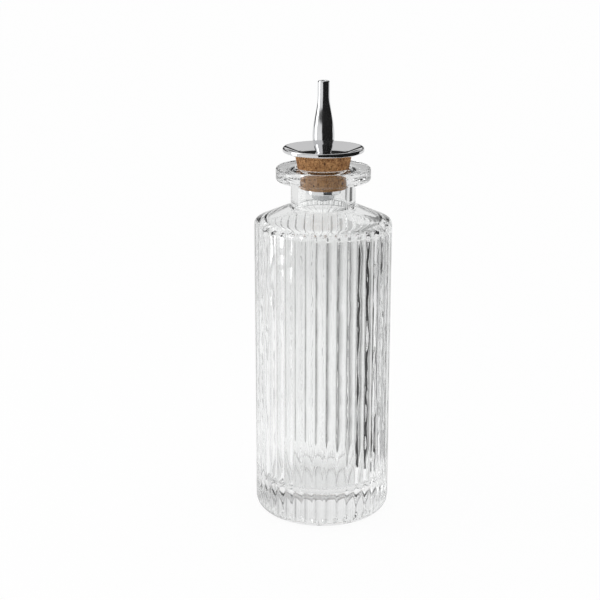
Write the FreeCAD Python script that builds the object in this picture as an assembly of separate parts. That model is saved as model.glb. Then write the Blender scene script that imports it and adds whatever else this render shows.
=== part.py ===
# Bitters bottle: a reeded glass bottle with a tapered cork that carries a metal dasher.
# Millimetres, +Z up, origin at the centre of the ring that the bottle stands on.

import FreeCAD, Part
import math
import os

from FreeCAD import Vector

# Cork stopper
cork_top_diameter = 20.3
cork_bottom_diameter = 15.7
cork_height = 11.7
cork_stand_height = 4.2         # how much of the cork shows above the lip

# Glass: mouth, lip and neck
mouth_seat_length = 3.4         # tapered part of the mouth that the cork wedges into
mouth_clearance = 0.08          # all round the cork at rest
lip_overhang = 5.4              # from the neck's wall out to the lip's edge
lip_thickness = 4.8
lip_edge_easing = 0.9
neck_wall = 2.9
neck_height = 9.0               # from the shoulder line up to the underside of the lip
neck_root_easing = 2.0

# Glass: body
body_diameter = 50.0            # over the rib crests
shoulder_corner_height = 110.9  # where the straight side and the shoulder cone would meet
shoulder_slope_deg = 23.3       # from the horizontal
shoulder_edge_easing = 2.6
heel_easing = 5.2
side_wall = 3.0                 # from the groove roots to the inside
base_thickness = 12.2
cavity_floor_easing = 5.0
foot_ring_width = 4.0           # flat ring that the bottle stands on
push_up_depth = 1.2
push_up_run = 1.9               # sloping edge of the recess under the base

# Glass: ribs
rib_count = 40
rib_depth = 0.8
rib_edge_relief = 0.05          # crests lie this far inside the turned outline

# Drip saucer
saucer_diameter = 29.2
saucer_edge_height = 1.35
saucer_rise = 1.45              # rim's lower edge above the cork's top
saucer_floor_diameter = 17.8
saucer_floor_thickness = 1.0
saucer_seat_margin = 0.3        # flat underside beyond the cork's top
saucer_rim_land = 0.7           # level top of the rim
saucer_rim_easing = 0.5

# Dasher spout
spout_height = 25.5             # above the saucer's floor
spout_belly_diameter = 7.8
spout_belly_height = 5.6
spout_throat_diameter = 4.25    # and of the straight tip above it
spout_throat_height = 20.8
spout_tip_easing = 0.6
spout_bore_diameter = 1.8       # from the socket up to the tip
spout_socket_depth = 5.5        # how far the stem screws in
spout_foot_wall = 0.65

# Stem, washer and nut
stem_diameter = 4.0
stem_wall = 0.9
stem_tail = 0.6                 # stem end below the nut
stem_socket_gap = 0.3           # above the stem's end inside the spout
stem_clearance = 0.1            # in the cork, saucer and washer
thread_clearance = 0.03         # in the spout and nut
washer_diameter = 12.5
washer_thickness = 1.8
nut_across_flats = 7.0
nut_height = 2.2
nut_sides = 6

# Straight steps that follow the spout's curves
foot_steps = 2
ogee_steps = 4

# How far the ribs' column overruns the glass at each end
overrun = 2.0

# Worked out from the sizes above
body_radius = body_diameter / 2
shoulder_slope = math.radians(shoulder_slope_deg)
cork_taper = (cork_top_diameter - cork_bottom_diameter) / 2 / cork_height
mouth_radius = cork_top_diameter / 2 - cork_taper * cork_stand_height + mouth_clearance
bore_radius = mouth_radius - cork_taper * mouth_seat_length
neck_radius = bore_radius + neck_wall
lip_radius = neck_radius + lip_overhang
neck_foot_z = shoulder_corner_height + (body_radius - neck_radius) * math.tan(shoulder_slope)
lip_bottom_z = neck_foot_z + neck_height
lip_top_z = lip_bottom_z + lip_thickness
cork_top_z = lip_top_z + cork_stand_height
cork_bottom_z = cork_top_z - cork_height
saucer_floor_z = cork_top_z + saucer_floor_thickness
washer_bottom_z = cork_bottom_z - washer_thickness
nut_bottom_z = washer_bottom_z - nut_height
stem_bottom_z = nut_bottom_z - stem_tail
stem_top_z = saucer_floor_z + spout_socket_depth - stem_socket_gap
stem_radius = stem_diameter / 2
passage_radius = stem_radius - stem_wall
stem_hole_radius = stem_radius + stem_clearance
thread_hole_radius = stem_radius + thread_clearance


def eased_corner(before, corner, after):
    """Points that replace a corner by bevels which touch a round of the corner's own radius."""
    radius, height, rounding, bevels = corner
    here = Vector(radius, 0, height)
    back = (Vector(before[0], 0, before[1]) - here).normalize()
    ahead = (Vector(after[0], 0, after[1]) - here).normalize()
    turn = math.pi - back.getAngle(ahead)
    step = turn / (bevels + 1)
    reach = rounding * (math.tan(turn / 2) - math.tan(step / 2))
    centre = here + (back + ahead).normalize() * (rounding / math.cos(turn / 2))
    spoke = here + back * reach - centre
    swing = FreeCAD.Rotation(ahead.cross(back), math.degrees(step))
    points = []
    for _ in range(bevels + 1):
        points.append(centre + spoke)
        spoke = swing.multVec(spoke)
    return points


def outline(*corners):
    """Points of a closed outline.

    A corner is (radius, height). One that is eased also has a rounding and a count of bevels.
    """
    points = []
    for i, corner in enumerate(corners):
        if len(corner) > 2:
            points += eased_corner(corners[i - 1], corner, corners[(i + 1) % len(corners)])
        else:
            points.append(Vector(corner[0], 0, corner[1]))
    return points


def turned(*corners):
    """Solid of revolution of an outline about the bottle's axis."""
    points = outline(*corners)
    face = Part.Face(Part.makePolygon(points + points[:1]))
    return face.revolve(Vector(0, 0, 0), Vector(0, 0, 1), 360)


def inner_shoulder_z(radius):
    """Height of the shoulder's inner cone, which runs parallel to the outer one."""
    outer = shoulder_corner_height + (body_radius - radius) * math.tan(shoulder_slope)
    return outer - side_wall / math.cos(shoulder_slope)


def turned_glass():
    """The bottle before its ribs: base, side, shoulder, neck and lip round one hollow."""
    side = body_radius + rib_edge_relief
    cavity = body_radius - rib_depth - side_wall
    ring_inner = body_radius - heel_easing - foot_ring_width
    return turned(
        (0, push_up_depth),
        (ring_inner - push_up_run, push_up_depth),
        (ring_inner, 0),
        (side, 0, heel_easing, 2),
        (side, shoulder_corner_height, shoulder_edge_easing, 1),
        (neck_radius, neck_foot_z, neck_root_easing, 1),
        (neck_radius, lip_bottom_z),
        (lip_radius, lip_bottom_z, lip_edge_easing, 1),
        (lip_radius, lip_top_z, lip_edge_easing, 1),
        (mouth_radius, lip_top_z),
        (bore_radius, lip_top_z - mouth_seat_length),
        (bore_radius, inner_shoulder_z(bore_radius)),
        (cavity, inner_shoulder_z(cavity)),
        (cavity, base_thickness, cavity_floor_easing, 1),
        (0, base_thickness),
    )


def reeded_column():
    """Tall column whose section is a ring of round ribs that meet in narrow grooves."""
    half_pitch = math.pi / rib_count
    groove_radius = body_radius - rib_depth

    def at(radius, angle):
        return Vector(radius * math.cos(angle), radius * math.sin(angle), -overrun)

    ribs = []
    for i in range(rib_count):
        crest = 2 * half_pitch * i
        before = at(groove_radius, crest - half_pitch)
        after = at(groove_radius, crest + half_pitch)
        ribs.append(Part.Arc(before, at(body_radius, crest), after).toShape())
    section = Part.Face(Part.Wire(ribs))
    return section.extrude(Vector(0, 0, lip_top_z + 2 * overrun))


def glass_bottle():
    """One piece of glass, whose ribs end in scallops on the heel and the shoulder edge."""
    return turned_glass().common(reeded_column())


def cork_stopper():
    return turned(
        (stem_hole_radius, cork_bottom_z),
        (cork_bottom_diameter / 2, cork_bottom_z),
        (cork_top_diameter / 2, cork_top_z),
        (stem_hole_radius, cork_top_z),
    )


def drip_saucer():
    rim = saucer_diameter / 2
    rim_bottom_z = cork_top_z + saucer_rise
    rim_top_z = rim_bottom_z + saucer_edge_height
    return turned(
        (stem_hole_radius, cork_top_z),
        (cork_top_diameter / 2 + saucer_seat_margin, cork_top_z),
        (rim, rim_bottom_z),
        (rim, rim_top_z, saucer_rim_easing, 1),
        (rim - saucer_rim_land, rim_top_z),
        (saucer_floor_diameter / 2, saucer_floor_z),
        (stem_hole_radius, saucer_floor_z),
    )


def spout_profile():
    """(radius, height) points of the spout's side: a swelling foot, then a long ease in to the throat."""
    foot = thread_hole_radius + spout_foot_wall
    belly = spout_belly_diameter / 2
    throat = spout_throat_diameter / 2
    points = []
    for i in range(foot_steps):
        share = i / foot_steps
        radius = foot + (belly - foot) * math.sin(math.pi / 2 * share)
        points.append((radius, saucer_floor_z + spout_belly_height * share))
    for i in range(ogee_steps + 1):
        share = i / ogee_steps
        radius = throat + (belly - throat) * (1 + math.cos(math.pi * share)) / 2
        height = spout_belly_height + (spout_throat_height - spout_belly_height) * share
        points.append((radius, saucer_floor_z + height))
    return points


def dasher_spout():
    tip_z = saucer_floor_z + spout_height
    bore = spout_bore_diameter / 2
    socket_z = saucer_floor_z + spout_socket_depth
    return turned(
        *spout_profile(),
        (spout_throat_diameter / 2, tip_z, spout_tip_easing, 1),
        (bore, tip_z),
        (bore, socket_z),
        (thread_hole_radius, socket_z),
        (thread_hole_radius, saucer_floor_z),
    )


def stem_tube():
    return turned(
        (passage_radius, stem_bottom_z),
        (stem_radius, stem_bottom_z),
        (stem_radius, stem_top_z),
        (passage_radius, stem_top_z),
    )


def retaining_washer():
    rim = washer_diameter / 2
    return turned(
        (stem_hole_radius, washer_bottom_z),
        (rim, washer_bottom_z),
        (rim, cork_bottom_z),
        (stem_hole_radius, cork_bottom_z),
    )


def retaining_nut():
    corner = nut_across_flats / 2 / math.cos(math.pi / nut_sides)
    points = []
    for i in range(nut_sides + 1):
        angle = 2 * math.pi * i / nut_sides
        points.append(Vector(corner * math.cos(angle), corner * math.sin(angle), nut_bottom_z))
    prism = Part.Face(Part.makePolygon(points)).extrude(Vector(0, 0, nut_height))
    return prism.cut(Part.makeCylinder(thread_hole_radius, nut_height, Vector(0, 0, nut_bottom_z)))


def main():
    pieces = (
        glass_bottle,
        cork_stopper,
        drip_saucer,
        dasher_spout,
        stem_tube,
        retaining_washer,
        retaining_nut,
    )
    os.makedirs("parts", exist_ok=True)
    for piece in pieces:
        shape = piece()
        solid = shape.Solids[0]
        solid.exportStep(f"parts/{piece.__name__}.step")
        print(piece.__name__, len(shape.Solids), solid.isValid(), round(solid.Volume, 1))


main()
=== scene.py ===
import math

import bpy
from bpy.props import FloatProperty, FloatVectorProperty, IntProperty, PointerProperty
from mathutils import Matrix, Vector, noise


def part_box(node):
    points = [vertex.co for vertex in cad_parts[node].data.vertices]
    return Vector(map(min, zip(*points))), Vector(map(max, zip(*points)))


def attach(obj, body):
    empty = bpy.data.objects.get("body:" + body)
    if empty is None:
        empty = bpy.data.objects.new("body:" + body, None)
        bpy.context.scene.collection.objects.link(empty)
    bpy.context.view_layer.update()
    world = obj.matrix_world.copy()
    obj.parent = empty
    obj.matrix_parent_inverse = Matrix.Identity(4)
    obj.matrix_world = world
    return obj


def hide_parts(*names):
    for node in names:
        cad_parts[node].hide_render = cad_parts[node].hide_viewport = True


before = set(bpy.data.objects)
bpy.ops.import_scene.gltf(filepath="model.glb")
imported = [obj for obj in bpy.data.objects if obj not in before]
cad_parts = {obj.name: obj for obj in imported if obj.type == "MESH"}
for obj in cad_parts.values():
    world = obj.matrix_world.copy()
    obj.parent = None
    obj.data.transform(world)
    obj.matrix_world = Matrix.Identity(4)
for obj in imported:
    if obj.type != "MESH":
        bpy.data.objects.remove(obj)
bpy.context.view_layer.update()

bl_info = {
    "name": "Bitters Bottle",
    "version": (1, 0, 0),
    "blender": (4, 5, 0),
    "location": "View3D > Sidebar > Bitters Bottle",
    "description": "Dresses the bitters bottle's CAD frame in ribbed glass, cork and bright metal",
    "category": "Object",
}

GLASS_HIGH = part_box("glass_bottle")[1]
CORK_LOW, CORK_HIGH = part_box("cork_stopper")
SAUCER_LOW, SAUCER_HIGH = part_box("drip_saucer")
SPOUT_LOW, SPOUT_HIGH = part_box("dasher_spout")
STEM_LOW, STEM_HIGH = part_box("stem_tube")
WASHER_LOW, WASHER_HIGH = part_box("retaining_washer")
NUT_LOW, NUT_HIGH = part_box("retaining_nut")

ARC_STEP = math.radians(9)
SHARP_ANGLE = math.radians(40)
FULL_TURN = 2 * math.pi
NUT_SIDES = 6
HEX_TURN = FULL_TURN / NUT_SIDES


def length(name, description, default):
    """A size in metres that a user may change."""
    return FloatProperty(
        name=name, description=description, default=default, min=0, precision=5, unit="LENGTH"
    )


def angle(name, description, degrees):
    """A slope or a turn, written here in degrees."""
    return FloatProperty(
        name=name, description=description, default=math.radians(degrees), subtype="ANGLE"
    )


def share(name, description, default):
    """A part of a whole, from 0 to 1."""
    return FloatProperty(
        name=name, description=description, default=default, min=0, max=1, subtype="FACTOR"
    )


def level(name, description, default):
    """A brightness, where 1 is white, or another plain number."""
    return FloatProperty(name=name, description=description, default=default, min=0)


def density(name, what, default):
    """The scale of a texture, as a count of its features."""
    return FloatProperty(name=name, description=f"{what} per metre", default=default, min=0)


def colour(name, description, default):
    """A colour in linear light."""
    return FloatVectorProperty(
        name=name, description=description, default=default, size=3, min=0, max=1, subtype="COLOR"
    )


# Settings


class GlassSettings(bpy.types.PropertyGroup):
    """Sizes and tint of the ribbed glass bottle."""

    rib_count: IntProperty(name="Ribs", description="Upright ribs round the body", default=40, min=3)
    rib_depth: length("Rib depth", "From the crest of a rib down to the groove beside it", 0.0008)
    groove_radius: length("Groove radius", "Rounding at the bottom of a groove", 0.0009)
    rib_relief: length("Rib relief", "How far the turned outline stands outside the crests", 0.00005)
    rib_melt: length("Rib melt", "How softly the ribs run out on the heel and shoulder", 0.00030)
    shoulder_height: length("Shoulder height", "Where the side and the shoulder cone would meet", 0.1109)
    shoulder_slope: angle("Shoulder slope", "Rise of the shoulder from the horizontal", 23.3)
    shoulder_radius: length("Shoulder rounding", "Rounding of the body's upper edge", 0.0022)
    heel_radius: length("Heel rounding", "Rounding of the body's lower edge", 0.0052)
    neck_radius: length("Neck radius", "Outside of the neck", 0.01164)
    neck_root_radius: length("Neck root", "Rounding where the neck leaves the shoulder", 0.0018)
    lip_radius: length("Lip radius", "Outside of the flat lip", 0.01704)
    lip_thickness: length("Lip thickness", "Height of the lip's edge", 0.0048)
    lip_rounding: length("Lip rounding", "Rounding of the lip's edges", 0.0009)
    lip_root_radius: length("Lip root", "Rounding where the neck meets the lip", 0.0018)
    mouth_radius: length("Mouth radius", "Inside of the mouth at the lip's top", 0.00940)
    bore_radius: length("Bore radius", "Inside of the neck", 0.00873)
    mouth_length: length("Mouth length", "Tapered part that the cork sits in", 0.0034)
    mouth_rounding: length("Mouth rounding", "Rounding of the mouth's upper edge", 0.0012)
    seat_rounding: length("Seat rounding", "Rounding where the mouth runs into the bore", 0.0080)
    side_wall: length("Side wall", "From the grooves to the inside", 0.0030)
    base_thickness: length("Base thickness", "Solid glass under the inside floor", 0.0122)
    inner_shoulder_radius: length("Inner shoulder", "Rounding inside the shoulder's edge", 0.0030)
    bore_foot_radius: length("Bore foot", "Rounding where the bore opens into the body", 0.0004)
    floor_radius: length("Floor rounding", "Rounding between the inside floor and wall", 0.0050)
    ring_width: length("Standing ring", "Flat ring between the heel and the push-up", 0.0040)
    push_up: length("Push-up", "Depth of the recess under the base", 0.0012)
    push_up_run: length("Push-up run", "Width of the recess's sloping edge", 0.0019)
    push_up_rounding: length("Push-up rounding", "Rounding of the recess's edges", 0.0010)
    ripple: length("Ripple", "Unevenness of the inside wall", 0.00026)
    tint: colour("Tint", "Colour of clear glass", (0.989, 0.992, 0.99))
    deep_tint: colour("Deep tint", "Faint cast of thicker glass", (0.972, 0.979, 0.977))
    index: level("Index", "How strongly the glass bends light", 1.5)
    haze: share("Haze", "Roughness where the glass is least clear", 0.012)
    cloud_density: density("Clouds", "Clouds in the glass", 60)
    skin_density: density("Skin", "Waves of the moulded skin", 420)
    skin_height: length("Skin height", "Height of the skin's waves", 0.00008)
    skin_strength: share("Skin strength", "How much of the skin's waves shows", 0.12)


class CorkSettings(bpy.types.PropertyGroup):
    """Sizes and colours of the tapered cork."""

    top_radius: length("Top radius", "Radius at the cork's top edge", 0.01015)
    bottom_radius: length("Bottom radius", "Radius at the cork's lower edge", 0.00785)
    hole_radius: length("Hole radius", "Hole for the stem", 0.0021)
    edge_radius: length("Edge rounding", "Rounding of the cork's edges", 0.0004)
    pit_depth: length("Pit depth", "Deepest pores in the cork's side", 0.0004)
    light: colour("Light cork", "Sound cork", (0.68, 0.37, 0.16))
    dark: colour("Dark cork", "Denser year rings", (0.19, 0.065, 0.018))
    pore: colour("Pores", "Inside of the pores", (0.09, 0.035, 0.015))
    ring_density: density("Rings", "Year rings", 600)
    ring_share: share("Ring share", "How much the year rings darken the cork", 0.4)
    grain_density: density("Grain", "Grains", 1800)
    grain_share: share("Grain share", "How much the grain darkens the cork", 0.65)
    lift: share("Lift", "How much paler the cork is than its rings and grain make it", 0.07)
    # Painted light: the cork inside the mouth is made paler, standing in for the light that the glass
    # keeps off it there.
    mouth_painted_light: share("Painted mouth light", "How much paler still the cork is inside the mouth", 0.3)
    mouth_painted_light_run: length("Cleaner run", "How softly the cork pales below the lip's top", 0.002)
    pore_density: density("Pore scale", "Pores", 520)
    patch_density: density("Patches", "Patches with pores", 260)
    streak_density: density("Streaks", "Dark streaks", 700)
    streak_share: share("Streak share", "How dark a streak is beside a pore", 0.8)
    roughness: share("Roughness", "Roughness of the smoothest cork", 0.72)
    grain_roughness: share("Grain roughness", "What the grain adds to the roughness", 0.2)
    relief: length("Relief", "Depth of the fine pores", 0.0003)
    grain_relief: share("Grain relief", "Height of the dark grain beside the pores' depth", 0.4)
    relief_strength: share("Relief strength", "How much of the relief shows", 0.6)


class MetalSettings(bpy.types.PropertyGroup):
    """Sizes and colours of the dasher's metal pieces."""

    saucer_edge: length("Saucer edge", "Height of the saucer's rim", 0.00135)
    saucer_floor_radius: length("Saucer floor", "Radius of the level floor", 0.0089)
    saucer_floor_thickness: length("Saucer sheet", "Thickness of the saucer's floor", 0.0010)
    saucer_seat_margin: length("Saucer seat", "Flat underside beyond the cork's top", 0.0003)
    saucer_land: length("Rim land", "Level top of the rim", 0.0007)
    saucer_rounding: length("Rim rounding", "Rounding of the rim", 0.00045)
    saucer_seat_rounding: length("Seat rounding", "Rounding under the saucer's flat", 0.0008)
    saucer_land_rounding: length("Land rounding", "Rounding inside the rim", 0.0006)
    saucer_floor_rounding: length("Floor rounding", "Rounding round the level floor", 0.0008)
    belly_height: length("Belly height", "Height of the spout's widest place above its foot", 0.0056)
    throat_radius: length("Throat radius", "Radius of the spout's straight tip", 0.00212)
    throat_height: length("Throat height", "Where the straight tip starts", 0.0208)
    foot_radius: length("Foot radius", "Radius of the spout's foot", 0.00268)
    tip_rounding: length("Tip rounding", "Rounding of the spout's tip", 0.0005)
    bore_radius: length("Bore radius", "Hole that the drops leave by", 0.0009)
    socket_depth: length("Socket depth", "How far the stem reaches into the spout", 0.0055)
    socket_radius: length("Socket radius", "Threaded hole in the spout", 0.00203)
    small_rounding: length("Small rounding", "Rounding of the stem's ends and the bore's edge", 0.0002)
    stem_wall: length("Stem wall", "Wall of the stem tube", 0.0009)
    thread_pitch: length("Thread pitch", "Rise of the stem's thread in one turn", 0.0007)
    thread_depth: length("Thread depth", "Depth of the stem's thread", 0.0003)
    washer_rounding: length("Washer rounding", "Rounding of the washer's edges", 0.0004)
    nut_chamfer: angle("Nut chamfer", "Slope of the nut's chamfered corners", 30)
    chrome: colour("Chrome", "Mirror plated metal", (0.86, 0.86, 0.87))
    smudged: colour("Smudged chrome", "Plated metal where it has been touched", (0.70, 0.70, 0.71))
    smudge_share: share("Smudge share", "How much a smudge dulls the colour", 0.25)
    smudge_density: density("Smudges", "Smudges", 180)
    polish_density: density("Polish", "Polishing rings", 9000)
    polish_height: length("Polish height", "Height of the polishing rings", 0.00002)
    polish_strength: share("Polish strength", "How much the polishing rings show", 0.05)
    chrome_roughness: share("Chrome roughness", "Roughness of clean plating", 0.03)
    smudge_roughness: share("Smudge roughness", "What a smudge adds to the roughness", 0.07)
    steel: colour("Steel", "Plain turned metal", (0.60, 0.61, 0.62))
    stained: colour("Stained steel", "Turned metal where it is stained", (0.44, 0.45, 0.46))
    stain_share: share("Stain share", "How much a stain darkens the colour", 0.5)
    stain_density: density("Stains", "Stains", 400)
    mark_density: density("Turning marks", "Turning marks", 6000)
    mark_height: length("Mark height", "Height of the turning marks", 0.00003)
    mark_strength: share("Mark strength", "How much the turning marks show", 0.15)
    steel_roughness: share("Steel roughness", "Roughness between the marks", 0.16)
    mark_roughness: share("Mark roughness", "What the marks add to the roughness", 0.12)


class StageSettings(bpy.types.PropertyGroup):
    """Camera, floor and light."""

    camera_turn: angle("Camera turn", "Turn of the camera and lights round the bottle", 3.37)
    camera_tilt: angle("Camera tilt", "How far the camera looks down", 16.17)
    camera_place: FloatVectorProperty(
        name="Camera place", description="Camera before its turn", default=(-0.00835, -0.4942, 0.22406),
        size=3, subtype="TRANSLATION", unit="LENGTH",
    )
    lens: FloatProperty(name="Lens", description="Focal length", default=84, min=1, unit="CAMERA")
    sensor: FloatProperty(name="Sensor", description="Sensor width", default=36, min=1, unit="CAMERA")
    nearest: length("Nearest", "Closest thing that the camera sees", 0.01)
    floor_reach: length("Floor reach", "From the bottle to the floor's edge", 3)
    floor_drop: length("Floor drop", "Gap that keeps the floor off the bottle's foot", 0.00005)
    floor_colour: colour("Floor colour", "The floor as it takes light and shadow", (0.85, 0.85, 0.85))
    floor_glow: share("Floor glow", "Share of the floor's white that takes no shadow", 0.95)
    floor_mirrored: level("Floor mirrored", "Brightness of the floor in the metal", 0.75)
    floor_through: level("Floor through glass", "Brightness of the floor behind the glass", 0.98)
    # Painted shadow: the floor just under the bottle is darker in what the glass shows.
    floor_painted_shadow: level("Floor under glass", "Brightness of the floor just under the bottle", 0.77)
    # Painted shade: the floor behind the glass dims far from the bottle.
    floor_near: length("Near floor", "Where the floor behind the glass starts to dim", 0.20)
    floor_far: length("Far floor", "Where the floor behind the glass has dimmed", 0.45)
    floor_fall: level("Floor fall", "How much the floor behind the glass dims", 0.17)
    room_through: level("Room through glass", "Brightness of the room behind the glass", 0.84)
    softbox_width: length("Softbox width", "Width of the soft light on the left", 0.12)
    softbox_height: length("Softbox height", "Height of the soft light", 0.5)
    softbox_power: FloatProperty(
        name="Softbox power", description="Power of the soft light", default=0.38, min=0, unit="POWER"
    )
    softbox_place: FloatVectorProperty(
        name="Softbox place", description="Soft light before its turn", default=(-0.34, 0, 0.2),
        size=3, subtype="TRANSLATION", unit="LENGTH",
    )
    softbox_aim: length("Softbox aim", "Height on the bottle that the soft light points at", 0.11)
    horizon: level("Horizon", "Brightness of the backdrop just above the floor", 0.7)
    gap: level("Gap", "Brightness of the dark gap above the backdrop", 0.02)
    room: level("Room", "Brightness of the pale walls above the dark gap", 0.62)
    ambient: level("Ambient", "Brightness of the room as a light", 0.92)


class BottleSettings(bpy.types.PropertyGroup):
    """Everything that the panel's operators read."""

    glass: PointerProperty(type=GlassSettings)
    cork: PointerProperty(type=CorkSettings)
    metal: PointerProperty(type=MetalSettings)
    stage: PointerProperty(type=StageSettings)


# Shader nodes


class Wire:
    """A node's output socket that takes part in Python arithmetic."""

    def __init__(self, shader, socket):
        self.shader = shader
        self.socket = socket

    def math(self, operation, *values):
        """The outcome of a sum of values and wires."""
        return self.shader.node("ShaderNodeMath", {"operation": operation}, dict(enumerate(values)))

    def __add__(self, other):
        return self.math("ADD", self, other)

    def __sub__(self, other):
        return self.math("SUBTRACT", self, other)

    def __mul__(self, other):
        return self.math("MULTIPLY", self, other)

    def __rsub__(self, other):
        return self.math("SUBTRACT", other, self)

    __radd__ = __add__
    __rmul__ = __mul__

    def clamped(self):
        """The value held from 0 to 1."""
        return self.math("MINIMUM", self.math("MAXIMUM", self, 0), 1)

    def between(self, low, high):
        """0 below low, 1 above high and a smooth step between them."""
        settings = {"interpolation_type": "SMOOTHSTEP"}
        sockets = {"Value": self, "From Min": low, "From Max": high}
        return self.shader.node("ShaderNodeMapRange", settings, sockets)


class Shader:
    """Makes the nodes of one material or world."""

    def __init__(self, owner):
        owner.use_nodes = True
        self.tree = owner.node_tree
        self.tree.nodes.clear()

    def node(self, kind, settings=None, inputs=None, output=0):
        """A node of that kind: its settings first, then its sockets' values or links."""
        made = self.tree.nodes.new(kind)
        for name, value in (settings or {}).items():
            setattr(made, name, value)
        for name, value in (inputs or {}).items():
            if isinstance(value, Wire):
                self.tree.links.new(value.socket, made.inputs[name])
            else:
                made.inputs[name].default_value = value
        return Wire(self, made.outputs[output]) if made.outputs else None

    def mix(self, factor, first, second):
        """Colour from first at factor 0 to second at factor 1."""
        sockets = {0: factor, 6: paint(first), 7: paint(second)}
        return self.node("ShaderNodeMix", {"data_type": "RGBA"}, sockets, 2)

    def place(self, across=1, upright=1):
        """The point on the piece in its own metres, times a scale across and one along the axis."""
        point = self.node("ShaderNodeTexCoord", output="Object")
        return self.node("ShaderNodeMapping", inputs={"Vector": point, "Scale": (across, across, upright)})

    def noise(self, place, scale, detail=3, roughness=0.5):
        """Cloudy noise, mostly near 0.5."""
        sockets = {"Vector": place, "Scale": scale, "Detail": detail, "Roughness": roughness}
        return self.node("ShaderNodeTexNoise", inputs=sockets)

    def bump(self, height, strength, distance):
        """A normal that follows a height of so many metres."""
        sockets = {"Height": height, "Strength": strength, "Distance": distance}
        return self.node("ShaderNodeBump", inputs=sockets)

    def along(self, way, direction):
        """How far a way points along a direction, from -1 to 1."""
        sockets = {0: way, 1: direction}
        return self.node("ShaderNodeVectorMath", {"operation": "DOT_PRODUCT"}, sockets, "Value")

    def surface(self, closure):
        """Makes that shader node the look of the material."""
        self.node("ShaderNodeOutputMaterial", inputs={"Surface": closure})


def paint(value):
    """A colour as a socket takes it: links pass, and three numbers get an alpha."""
    return value if isinstance(value, Wire) else (*value, 1)


def material(name):
    """A new material, and the shader that makes its nodes."""
    made = bpy.data.materials.new(name)
    return made, Shader(made)


def clear_glass(glass):
    """Clear pressed glass, a little uneven and faintly darker in places."""
    made, shader = material("clear_glass")
    cloud = shader.noise(shader.place(), glass.cloud_density, detail=2)
    skin = shader.noise(shader.place(upright=0.3), glass.skin_density, detail=2)
    sockets = {
        "Base Color": shader.mix(cloud, glass.tint, glass.deep_tint),
        "Roughness": cloud * glass.haze,
        "IOR": glass.index,
        "Transmission Weight": 1,
        "Normal": shader.bump(skin, glass.skin_strength, glass.skin_height),
    }
    shader.surface(shader.node("ShaderNodeBsdfPrincipled", inputs=sockets))
    return made


def natural_cork(cork):
    """Cork with year rings, a fine grain and dark pores, and painted light that makes it paler inside the
    mouth.
    """
    made, shader = material("natural_cork")
    rings = shader.noise(shader.place(upright=0.6), cork.ring_density, detail=4, roughness=0.6)
    grain = shader.noise(shader.place(upright=0.9), cork.grain_density, detail=3, roughness=0.7)
    height = shader.node("ShaderNodeSeparateXYZ", inputs={"Vector": shader.place()}, output="Z")
    # Painted light: inside is 1 below the lip's top, where the cork is painted paler to stand in for the
    # light that the glass keeps off it.
    inside = 1 - height.between(GLASS_HIGH.z - cork.mouth_painted_light_run, GLASS_HIGH.z)
    shade = rings.between(0.34, 0.66) * cork.ring_share + grain.between(0.36, 0.64) * cork.grain_share
    tone = (shade - cork.lift - inside * cork.mouth_painted_light).clamped()
    cells = {"Vector": shader.place(upright=0.55), "Scale": cork.pore_density, "Randomness": 1}
    speck = shader.node("ShaderNodeTexVoronoi", inputs=cells)
    patch = shader.noise(shader.place(), cork.patch_density, detail=2)
    pores = (1 - speck.between(0.1, 0.3)) * patch.between(0.48, 0.62)
    streak = shader.noise(shader.place(upright=0.5), cork.streak_density, detail=2).between(0.63, 0.70)
    dark = (pores + streak * cork.streak_share).clamped()
    body = shader.mix(tone, cork.light, cork.dark)
    sockets = {
        "Base Color": shader.mix(dark, body, cork.pore),
        "Roughness": cork.roughness + grain * cork.grain_roughness,
        "Specular IOR Level": 0.25,
        "Normal": shader.bump(tone * cork.grain_relief - dark, cork.relief_strength, cork.relief),
    }
    shader.surface(shader.node("ShaderNodeBsdfPrincipled", inputs=sockets))
    return made


def bright_metal(metal):
    """Mirror plated metal with faint polishing rings and smudges."""
    made, shader = material("bright_metal")
    rings = shader.noise(shader.place(across=0.02), metal.polish_density, detail=2)
    smudge = shader.noise(shader.place(), metal.smudge_density, detail=4, roughness=0.6)
    sockets = {
        "Base Color": shader.mix(smudge * metal.smudge_share, metal.chrome, metal.smudged),
        "Metallic": 1,
        "Roughness": metal.chrome_roughness + smudge.between(0.5, 0.75) * metal.smudge_roughness,
        "Normal": shader.bump(rings, metal.polish_strength, metal.polish_height),
    }
    shader.surface(shader.node("ShaderNodeBsdfPrincipled", inputs=sockets))
    return made


def turned_steel(metal):
    """Plain steel with the marks of turning."""
    made, shader = material("turned_steel")
    marks = shader.noise(shader.place(across=0.05), metal.mark_density)
    stain = shader.noise(shader.place(), metal.stain_density)
    sockets = {
        "Base Color": shader.mix(stain * metal.stain_share, metal.steel, metal.stained),
        "Metallic": 1,
        "Roughness": metal.steel_roughness + marks * metal.mark_roughness,
        "Normal": shader.bump(marks, metal.mark_strength, metal.mark_height),
    }
    shader.surface(shader.node("ShaderNodeBsdfPrincipled", inputs=sockets))
    return made


# Meshes


def arc(before, corner, after):
    """Points that round one corner of an outline by its third value."""
    here = Vector(corner[:2])
    back = (Vector(before[:2]) - here).normalized()
    ahead = (Vector(after[:2]) - here).normalized()
    turn = math.pi - back.angle(ahead)
    centre = here + (back + ahead).normalized() * (corner[2] / math.cos(turn / 2))
    spoke = here + back * (corner[2] * math.tan(turn / 2)) - centre
    sweep = turn if back.cross(ahead) < 0 else -turn
    steps = max(2, round(turn / ARC_STEP))
    return [centre + Matrix.Rotation(sweep * i / steps, 2) @ spoke for i in range(steps + 1)]


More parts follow.
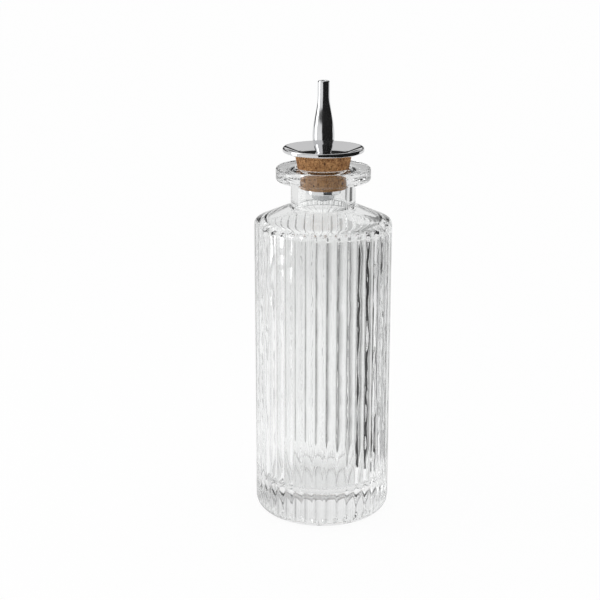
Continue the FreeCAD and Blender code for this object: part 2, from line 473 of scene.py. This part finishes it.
def outline(corners, spacing=None):
    """(radius, height) points of an outline; a corner with a third value is rounded by it.

    Straight runs get a point at least every spacing metres.
    """
    points = []
    for i, corner in enumerate(corners):
        if len(corner) > 2:
            fresh = arc(corners[i - 1], corner, corners[(i + 1) % len(corners)])
        else:
            fresh = [Vector(corner)]
        if points and spacing:
            run = fresh[0] - points[-1]
            steps = math.ceil(run.length / spacing)
            start = points[-1]
            points += [start + run * (j / steps) for j in range(1, steps)]
        points += fresh
    return points


def even_turn(columns):
    """Angles of so many columns round the axis."""
    return [FULL_TURN * i / columns for i in range(columns)]


def turned(name, points, angles, shaped=None):
    """Object turned round the bottle's axis, with its outside on the right as the points run.

    shaped(radius, height, angle), where given, returns the radius that a point gets.
    An outline that starts and ends on the axis is closed there, and any other is closed on itself.
    """
    vertices = []
    rings = []
    for radius, height in points:
        if radius == 0:
            rings.append([len(vertices)] * len(angles))
            vertices.append((0, 0, height))
            continue
        rings.append(list(range(len(vertices), len(vertices) + len(angles))))
        for way in angles:
            reach = shaped(radius, height, way) if shaped else radius
            vertices.append((reach * math.cos(way), reach * math.sin(way), height))
    following = rings[1:] if points[0][0] == 0 else rings[1:] + rings[:1]
    faces = []
    for low, high in zip(rings, following):
        for i in range(len(angles)):
            j = (i + 1) % len(angles)
            faces.append(list(dict.fromkeys((low[i], low[j], high[j], high[i]))))
    mesh = bpy.data.meshes.new(name)
    mesh.from_pydata(vertices, [], faces)
    mesh.shade_smooth()
    mesh.set_sharp_from_angle(angle=SHARP_ANGLE)
    piece = bpy.data.objects.new(name, mesh)
    bpy.context.scene.collection.objects.link(piece)
    return piece


def dress(piece, node, body, finish):
    """Puts a piece in the place of its CAD node."""
    piece.data.materials.append(finish)
    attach(piece, body)
    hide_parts(node)


def waves(way, height, around, upright):
    """Smooth noise on a round side, from -1 to 1: around and upright set how close its waves lie."""
    return noise.noise(Vector((around * math.cos(way), around * math.sin(way), height * upright)))


def softer_least(first, second, melt):
    """The smaller of two lengths, eased where they are nearly the same."""
    near = max(melt - abs(first - second), 0) / melt
    return min(first, second) - near * near * melt / 4


# Operators


class BITTERS_OT_glass_bottle(bpy.types.Operator):
    """Make the ribbed glass bottle"""

    bl_idname = "bitters.glass_bottle"
    bl_label = "Glass Bottle"

    rib_steps = 12
    groove_steps = 8
    row_spacing = 0.0016

    # How close the waves of the inside wall lie, round it and up it
    broad_waves = (8, 110)
    fine_waves = (20, 300)
    broad_share = 0.65

    def execute(self, context):
        glass = context.scene.bitters_bottle.glass
        reach = self.reeding(glass)
        cavity = GLASS_HIGH.x - glass.rib_depth - glass.side_wall
        inner_top = self.inner_shoulder(glass, cavity)

        def shaped(radius, height, way):
            radius = softer_least(radius, reach[way], glass.rib_melt)
            on_wall = abs(radius - cavity) < glass.rib_depth and glass.base_thickness < height < inner_top
            if on_wall:
                radius += self.unevenness(way, height) * glass.ripple
            return radius

        points = outline(self.corners(glass, cavity, inner_top), self.row_spacing)
        piece = turned("glass_body", points, list(reach), shaped)
        dress(piece, "glass_bottle", "bottle", clear_glass(glass))
        return {"FINISHED"}

    def unevenness(self, way, height):
        """Long, low waves that a mould leaves inside, from -1 to 1."""
        broad = waves(way, height, *self.broad_waves)
        fine = waves(way, height, *self.fine_waves)
        return self.broad_share * broad + (1 - self.broad_share) * fine

    def outer_shoulder(self, glass, radius):
        """Height of the shoulder's cone."""
        return glass.shoulder_height + (GLASS_HIGH.x - radius) * math.tan(glass.shoulder_slope)

    def inner_shoulder(self, glass, radius):
        """Height of the shoulder's inside, which runs parallel to its outside."""
        return self.outer_shoulder(glass, radius) - glass.side_wall / math.cos(glass.shoulder_slope)

    def corners(self, glass, cavity, inner_top):
        """Outline from the middle of the base, up the outside, and down the inside to its floor."""
        side = GLASS_HIGH.x + glass.rib_relief
        top = GLASS_HIGH.z
        lip_bottom = top - glass.lip_thickness
        neck_foot = self.outer_shoulder(glass, glass.neck_radius)
        ring_inner = GLASS_HIGH.x - glass.heel_radius - glass.ring_width
        bore_foot = self.inner_shoulder(glass, glass.bore_radius)
        return [
            (0, glass.push_up),
            (ring_inner - glass.push_up_run, glass.push_up, glass.push_up_rounding),
            (ring_inner, 0, glass.push_up_rounding),
            (side, 0, glass.heel_radius),
            (side, glass.shoulder_height, glass.shoulder_radius),
            (glass.neck_radius, neck_foot, glass.neck_root_radius),
            (glass.neck_radius, lip_bottom, glass.lip_root_radius),
            (glass.lip_radius, lip_bottom, glass.lip_rounding),
            (glass.lip_radius, top, glass.lip_rounding),
            (glass.mouth_radius, top, glass.mouth_rounding),
            (glass.bore_radius, top - glass.mouth_length, glass.seat_rounding),
            (glass.bore_radius, bore_foot, glass.bore_foot_radius),
            (cavity, inner_top, glass.inner_shoulder_radius),
            (cavity, glass.base_thickness, glass.floor_radius),
            (0, glass.base_thickness),
        ]

    def reeding(self, glass):
        """Radius of the ribbed side by angle: round ribs joined by small round grooves."""
        half_pitch = math.pi / glass.rib_count
        crest = GLASS_HIGH.x
        groove_centre = crest - glass.rib_depth + glass.groove_radius
        rise = crest - groove_centre * math.cos(half_pitch)
        spread = crest ** 2 + groove_centre ** 2 - 2 * crest * groove_centre * math.cos(half_pitch)
        rib_radius = (spread - glass.groove_radius ** 2) / (2 * (rise + glass.groove_radius))
        rib_centre = crest - rib_radius
        across = groove_centre * math.sin(half_pitch)
        lean = math.atan2(across, groove_centre * math.cos(half_pitch) - rib_centre)
        groove_lean = lean + half_pitch
        section = []
        for i in range(self.rib_steps):
            tilt = lean * (2 * i / self.rib_steps - 1)
            x = rib_centre + rib_radius * math.cos(tilt)
            y = rib_radius * math.sin(tilt)
            section.append((math.atan2(y, x), math.hypot(x, y)))
        for i in range(self.groove_steps):
            tilt = groove_lean * (2 * i / self.groove_steps - 1)
            x = groove_centre - glass.groove_radius * math.cos(tilt)
            y = glass.groove_radius * math.sin(tilt)
            section.append((math.atan2(y, x) + half_pitch, math.hypot(x, y)))
        return {
            2 * half_pitch * rib + way: radius
            for rib in range(glass.rib_count)
            for way, radius in section
        }


class BITTERS_OT_cork_stopper(bpy.types.Operator):
    """Make the tapered cork with its pores"""

    bl_idname = "bitters.cork_stopper"
    bl_label = "Cork Stopper"

    columns = 288
    row_spacing = 0.00022

    # How close the pores lie, round the cork and up it, and the noise at which they start to sink
    tall_pores = (9, 380)
    tall_start = 0.38
    tall_gain = 2.2
    small_pores = (26, 1900)
    small_start = 0.34
    small_gain = 1.1
    unevenness = 0.06

    def execute(self, context):
        cork = context.scene.bitters_bottle.cork
        corners = [
            (cork.hole_radius, CORK_LOW.z),
            (cork.bottom_radius, CORK_LOW.z, cork.edge_radius),
            (cork.top_radius, CORK_HIGH.z, cork.edge_radius),
            (cork.hole_radius, CORK_HIGH.z),
        ]

        def shaped(radius, height, way):
            if radius < cork.bottom_radius - cork.edge_radius:
                return radius
            return radius - cork.pit_depth * self.pitting(way, height)

        points = outline(corners, self.row_spacing)
        piece = turned("cork_stopper_turned", points, even_turn(self.columns), shaped)
        dress(piece, "cork_stopper", "stopper", natural_cork(cork))
        return {"FINISHED"}

    def pitting(self, way, height):
        """Depth of the pores, from 0 to 1: a few tall ones and many small ones."""
        tall = waves(way, height, *self.tall_pores)
        small = waves(way, height, *self.small_pores)
        pores = self.tall_gain * max(tall - self.tall_start, 0)
        pores += self.small_gain * max(small - self.small_start, 0)
        return min(pores + self.unevenness * (1 + small), 1)


class BITTERS_OT_drip_saucer(bpy.types.Operator):
    """Make the dished saucer that lies on the cork"""

    bl_idname = "bitters.drip_saucer"
    bl_label = "Drip Saucer"

    columns = 160
    row_spacing = 0.0012

    def execute(self, context):
        settings = context.scene.bitters_bottle
        metal = settings.metal
        rim = SAUCER_HIGH.x
        floor = SAUCER_LOW.z + metal.saucer_floor_thickness
        seat = settings.cork.top_radius + metal.saucer_seat_margin
        corners = [
            (settings.cork.hole_radius, SAUCER_LOW.z),
            (seat, SAUCER_LOW.z, metal.saucer_seat_rounding),
            (rim, SAUCER_HIGH.z - metal.saucer_edge, metal.saucer_rounding),
            (rim, SAUCER_HIGH.z, metal.saucer_rounding),
            (rim - metal.saucer_land, SAUCER_HIGH.z, metal.saucer_land_rounding),
            (metal.saucer_floor_radius, floor, metal.saucer_floor_rounding),
            (settings.cork.hole_radius, floor),
        ]
        points = outline(corners, self.row_spacing)
        piece = turned("drip_saucer_spun", points, even_turn(self.columns))
        dress(piece, "drip_saucer", "stopper", bright_metal(metal))
        return {"FINISHED"}


class BITTERS_OT_dasher_spout(bpy.types.Operator):
    """Make the slender spout that the drops leave by"""

    bl_idname = "bitters.dasher_spout"
    bl_label = "Dasher Spout"

    columns = 128
    row_spacing = 0.002
    foot_steps = 10
    ogee_steps = 28

    def execute(self, context):
        metal = context.scene.bitters_bottle.metal
        socket_z = SPOUT_LOW.z + metal.socket_depth
        corners = [
            *self.side(metal),
            (metal.throat_radius, SPOUT_HIGH.z, metal.tip_rounding),
            (metal.bore_radius, SPOUT_HIGH.z, metal.small_rounding),
            (metal.bore_radius, socket_z),
            (metal.socket_radius, socket_z),
            (metal.socket_radius, SPOUT_LOW.z),
        ]
        points = outline(corners, self.row_spacing)
        piece = turned("dasher_spout_turned", points, even_turn(self.columns))
        dress(piece, "dasher_spout", "stopper", bpy.data.materials["bright_metal"])
        return {"FINISHED"}

    def side(self, metal):
        """Swelling foot, then a long ease in to the throat."""
        belly = SPOUT_HIGH.x
        points = []
        for i in range(self.foot_steps):
            part = i / self.foot_steps
            radius = metal.foot_radius + (belly - metal.foot_radius) * math.sin(math.pi / 2 * part)
            points.append((radius, SPOUT_LOW.z + metal.belly_height * part))
        for i in range(self.ogee_steps + 1):
            part = i / self.ogee_steps
            swell = (1 + math.cos(math.pi * part)) / 2
            radius = metal.throat_radius + (belly - metal.throat_radius) * swell
            height = metal.belly_height + (metal.throat_height - metal.belly_height) * part
            points.append((radius, SPOUT_LOW.z + height))
        return points


class BITTERS_OT_stem_hardware(bpy.types.Operator):
    """Make the stem, the washer and the nut that holds them under the cork"""

    bl_idname = "bitters.stem_hardware"
    bl_label = "Stem, Washer and Nut"

    columns = 96
    rows_per_turn = 8

    def execute(self, context):
        settings = context.scene.bitters_bottle
        steel = turned_steel(settings.metal)
        self.stem(settings.metal, steel)
        self.washer(settings)
        self.nut(settings.metal, steel)
        return {"FINISHED"}

    def stem(self, metal, steel):
        """Threaded tube that ties the stopper's pieces together."""
        outside = STEM_HIGH.x
        passage = outside - metal.stem_wall
        corners = [
            (passage, STEM_LOW.z),
            (outside, STEM_LOW.z, metal.small_rounding),
            (outside, STEM_HIGH.z, metal.small_rounding),
            (passage, STEM_HIGH.z),
        ]

        def threaded(radius, height, way):
            if radius < outside - metal.stem_wall / 2:
                return radius
            turns = height / metal.thread_pitch - way / FULL_TURN
            return radius - metal.thread_depth * abs(2 * (turns % 1) - 1)

        points = outline(corners, metal.thread_pitch / self.rows_per_turn)
        piece = turned("stem_threaded", points, even_turn(self.columns), threaded)
        dress(piece, "stem_tube", "stopper", steel)

    def washer(self, settings):
        """Plate with rounded edges against the cork's lower end."""
        rim = WASHER_HIGH.x
        rounding = settings.metal.washer_rounding
        corners = [
            (settings.cork.hole_radius, WASHER_LOW.z),
            (rim, WASHER_LOW.z, rounding),
            (rim, WASHER_HIGH.z, rounding),
            (settings.cork.hole_radius, WASHER_HIGH.z),
        ]
        piece = turned("washer_rounded", outline(corners), even_turn(self.columns))
        dress(piece, "retaining_washer", "stopper", bpy.data.materials["bright_metal"])

    def nut(self, metal, steel):
        """Hexagon nut with chamfered corners."""
        flat = NUT_HIGH.y
        corner = NUT_HIGH.x
        drop = (corner - flat) * math.tan(metal.nut_chamfer)
        corners = [
            (metal.socket_radius, NUT_LOW.z),
            (flat, NUT_LOW.z),
            (corner, NUT_LOW.z + drop),
            (corner, NUT_HIGH.z - drop),
            (flat, NUT_HIGH.z),
            (metal.socket_radius, NUT_HIGH.z),
        ]

        def hexagonal(radius, height, way):
            across = (way + HEX_TURN / 2) % HEX_TURN - HEX_TURN / 2
            return min(radius, flat / math.cos(HEX_TURN / 2 - abs(across)))

        piece = turned("nut_chamfered", outline(corners, drop), even_turn(self.columns), hexagonal)
        dress(piece, "retaining_nut", "stopper", steel)


class BITTERS_OT_stage(bpy.types.Operator):
    """Set the floor, the lights and the camera"""

    bl_idname = "bitters.stage"
    bl_label = "Stage"

    # Where the painted shadow on the floor under the glass starts to fade and has faded, as shares of the
    # bottle's radius
    painted_shadow_edge_shares = (0.5, 1.5)

    # Large folded cards: plan from above, with x to the right and y away from the camera, lower and
    # upper edge, glow, and the rays that pass through
    large_cards = {
        "metal_card": (((-0.13, -0.47), (0.075, -0.25), (0.075, 0.03)), (0, 0.22), 0.012, "through"),
        "washer_card": (((0, -0.31), (0.07, -0.24), (0.07, -0.05)), (0, 0.14), 0.03, "mirror"),
    }

    # Cards close round the bottle that the glass shows: distance from the axis, bearings in degrees
    # from straight behind towards the right, lower and upper edge, and glow
    near = 0.06
    aside = 0.0683
    beside_body = (0, 0.098)
    beside_flank = (0, 0.096)
    beside_neck = (0.105, 0.14)
    glass_cards = {
        "grey_card": (near, (15, 36.8), beside_body, 0.52),
        "black_card": (near, (36.8, 57.2), beside_body, 0.03),
        "side_card": (aside, (78.2, 112.4), beside_body, 0.02),
        "left_card": (near, (-115, -145), beside_flank, 0.30),
        "flank_card": (near, (115, 145), beside_flank, 0.30),
        "neck_card": (near, (33.4, 55.2), beside_neck, 0.12),
    }

    # Dark places of the room that only the metal mirrors, and how squarely a ray points at their edges
    dark_front = (0.92, -0.39, 0)
    dark_front_edge = (0.06, 0.2)
    dark_behind = (-0.64, 0.77, 0)
    dark_behind_edge = (0.88, 0.93)

    # Rise of a ray where the backdrop ends and where the pale walls start
    backdrop_edge = (0.145, 0.165)
    wall_edge = (0.25, 0.30)

    def execute(self, context):
        stage = context.scene.bitters_bottle.stage
        turn = Matrix.Rotation(stage.camera_turn, 4, "Z")
        self.floor(stage)
        self.cards(turn)
        self.softbox(stage, turn)
        self.backdrop(context.scene, stage)
        self.camera(context.scene, stage, turn)
        context.scene.view_settings.view_transform = "Standard"
        context.scene.cycles.max_bounces = 32
        context.scene.cycles.transmission_bounces = 28
        context.scene.cycles.glossy_bounces = 12
        return {"FINISHED"}

    def panel(self, name, corners, faces, finish):
        """Flat or folded sheet that belongs to the stage."""
        mesh = bpy.data.meshes.new(name)
        mesh.from_pydata(corners, [], faces)
        mesh.materials.append(finish)
        made = bpy.data.objects.new(name, mesh)
        bpy.context.scene.collection.objects.link(made)
        return made

    def floor(self, stage):
        """Pale floor: mostly its own white to the camera, metal and glass, with some of the shadow.
        Through the glass it also shows a painted shadow just under the bottle and painted shade that dims
        it far off.
        """
        made, shader = material("white_floor")
        lit = shader.node("ShaderNodeBsdfDiffuse", inputs={"Color": paint(stage.floor_colour)})
        camera, mirror, through = self.rays(shader)
        place = shader.node("ShaderNodeTexCoord", output="Object")
        away = shader.node("ShaderNodeVectorMath", {"operation": "LENGTH"}, {0: place}, "Value")
        # Painted shadow under the bottle, which fades out beyond it, in what the glass shows.
        past_painted_shadow = away.between(*(GLASS_HIGH.x * edge for edge in self.painted_shadow_edge_shares))
        # Painted shade that dims the far floor in what the glass shows.
        far = away.between(stage.floor_near, stage.floor_far) * stage.floor_fall
        below = stage.floor_painted_shadow + (stage.floor_through - stage.floor_painted_shadow) * past_painted_shadow - far
        shown = camera + mirror * stage.floor_mirrored + through * below
        white = shader.node("ShaderNodeEmission", inputs={"Color": shown})
        seen = (camera + mirror + through) * stage.floor_glow
        shader.surface(shader.node("ShaderNodeMixShader", inputs={0: seen, 1: lit, 2: white}))
        sides = ((-1, -1), (1, -1), (1, 1), (-1, 1))
        corners = [(x * stage.floor_reach, y * stage.floor_reach, -stage.floor_drop) for x, y in sides]
        self.panel("floor", corners, [(0, 1, 2, 3)], made)

    def rays(self, shader):
        """Which rays show the background: the camera's, a mirror's and the glass's, each 0 or 1.

        A ray that has passed through glass counts as glossy too, so that is taken off.
        """
        camera = shader.node("ShaderNodeLightPath", output="Is Camera Ray")
        through = shader.node("ShaderNodeLightPath", output="Is Transmission Ray")
        mirror = shader.node("ShaderNodeLightPath", output="Is Glossy Ray") * (1 - through)
        return camera, mirror, through

    def card(self, name, turn, plan, heights, glow, hidden):
        """Upright card along a plan of points, which rays of the hidden kind pass through."""
        made, shader = material(name)
        rays = dict(zip(("camera", "mirror", "through"), self.rays(shader)))
        dull = shader.node("ShaderNodeEmission", inputs={"Strength": glow})
        clear = shader.node("ShaderNodeBsdfTransparent")
        shader.surface(shader.node("ShaderNodeMixShader", inputs={0: rays[hidden], 1: dull, 2: clear}))
        corners = [turn @ Vector((x, y, z)) for x, y in plan for z in heights]
        faces = [(2 * i, 2 * i + 2, 2 * i + 3, 2 * i + 1) for i in range(len(plan) - 1)]
        upright = self.panel(name, corners, faces, made)
        upright.visible_camera = False
        upright.visible_shadow = False
        upright.visible_diffuse = False

    def cards(self, turn):
        """Dark cards: large ones for the metal and the washer, and small ones that the glass shows."""
        for name, (plan, heights, glow, hidden) in self.large_cards.items():
            self.card(name, turn, plan, heights, glow, hidden)
        for name, (distance, bearings, heights, glow) in self.glass_cards.items():
            ways = [math.radians(bearing) for bearing in bearings]
            plan = [(distance * math.sin(way), distance * math.cos(way)) for way in ways]
            self.card(name, turn, plan, heights, glow, "mirror")

    def softbox(self, stage, turn):
        """Soft light on the left, which points at the bottle."""
        light = bpy.data.lights.new("softbox", "AREA")
        light.shape = "RECTANGLE"
        light.size = stage.softbox_width
        light.size_y = stage.softbox_height
        light.energy = stage.softbox_power
        lamp = bpy.data.objects.new("softbox", light)
        aim = Vector((0, 0, stage.softbox_aim)) - stage.softbox_place
        facing = aim.to_track_quat("-Z", "Y").to_matrix().to_4x4()
        lamp.matrix_world = turn @ Matrix.Translation(stage.softbox_place) @ facing
        lamp.visible_camera = False
        bpy.context.scene.collection.objects.link(lamp)

    def backdrop(self, scene, stage):
        """White to the camera and pale through the glass.

        The metal mirrors a backdrop, a dark gap above it, pale walls above that, and two dark places.
        """
        world = bpy.data.worlds.new("studio")
        scene.world = world
        shader = Shader(world)
        way = shader.node("ShaderNodeTexCoord", output="Generated")
        rise = shader.node("ShaderNodeSeparateXYZ", inputs={"Vector": way}, output="Z")
        front = shader.along(way, self.dark_front).between(*self.dark_front_edge)
        behind = shader.along(way, self.dark_behind).between(*self.dark_behind_edge)
        camera, mirror, through = self.rays(shader)
        backdrop = 1 - rise.between(*self.backdrop_edge)
        walls = rise.between(*self.wall_edge)
        pale_side = (1 - front) * (1 - behind)
        studio = (backdrop * stage.horizon + walls * stage.room) * pale_side + stage.gap
        rest = 1 - camera - mirror - through
        shown = camera + mirror * studio + through * stage.room_through + rest * stage.ambient
        light = shader.node("ShaderNodeBackground", inputs={"Color": shown})
        shader.node("ShaderNodeOutputWorld", inputs={"Surface": light})

    def camera(self, scene, stage, turn):
        """Camera with a long lens, which looks down a little."""
        data = bpy.data.cameras.new("camera")
        data.lens = stage.lens
        data.sensor_width = stage.sensor
        data.clip_start = stage.nearest
        eye = bpy.data.objects.new("camera", data)
        tilt = Matrix.Rotation(math.pi / 2 - stage.camera_tilt, 4, "X")
        eye.matrix_world = turn @ Matrix.Translation(stage.camera_place) @ tilt
        scene.collection.objects.link(eye)
        scene.camera = eye


class BITTERS_PT_build(bpy.types.Panel):
    """Lists the steps that dress the frame"""

    bl_idname = "BITTERS_PT_build"
    bl_label = "Bitters Bottle"
    bl_space_type = "VIEW_3D"
    bl_region_type = "UI"
    bl_category = "Bitters Bottle"

    def draw(self, context):
        for operator in OPERATORS:
            self.layout.operator(operator.bl_idname)


OPERATORS = (
    BITTERS_OT_glass_bottle,
    BITTERS_OT_cork_stopper,
    BITTERS_OT_drip_saucer,
    BITTERS_OT_dasher_spout,
    BITTERS_OT_stem_hardware,
    BITTERS_OT_stage,
)
CLASSES = (
    GlassSettings,
    CorkSettings,
    MetalSettings,
    StageSettings,
    BottleSettings,
    *OPERATORS,
    BITTERS_PT_build,
)


def register():
    for each in CLASSES:
        bpy.utils.register_class(each)
    bpy.types.Scene.bitters_bottle = PointerProperty(type=BottleSettings)


def unregister():
    del bpy.types.Scene.bitters_bottle
    for each in reversed(CLASSES):
        bpy.utils.unregister_class(each)


def main():
    register()
    bpy.ops.bitters.glass_bottle()
    bpy.ops.bitters.cork_stopper()
    bpy.ops.bitters.drip_saucer()
    bpy.ops.bitters.dasher_spout()
    bpy.ops.bitters.stem_hardware()
    bpy.ops.bitters.stage()


if __name__ == "__main__":
    main()
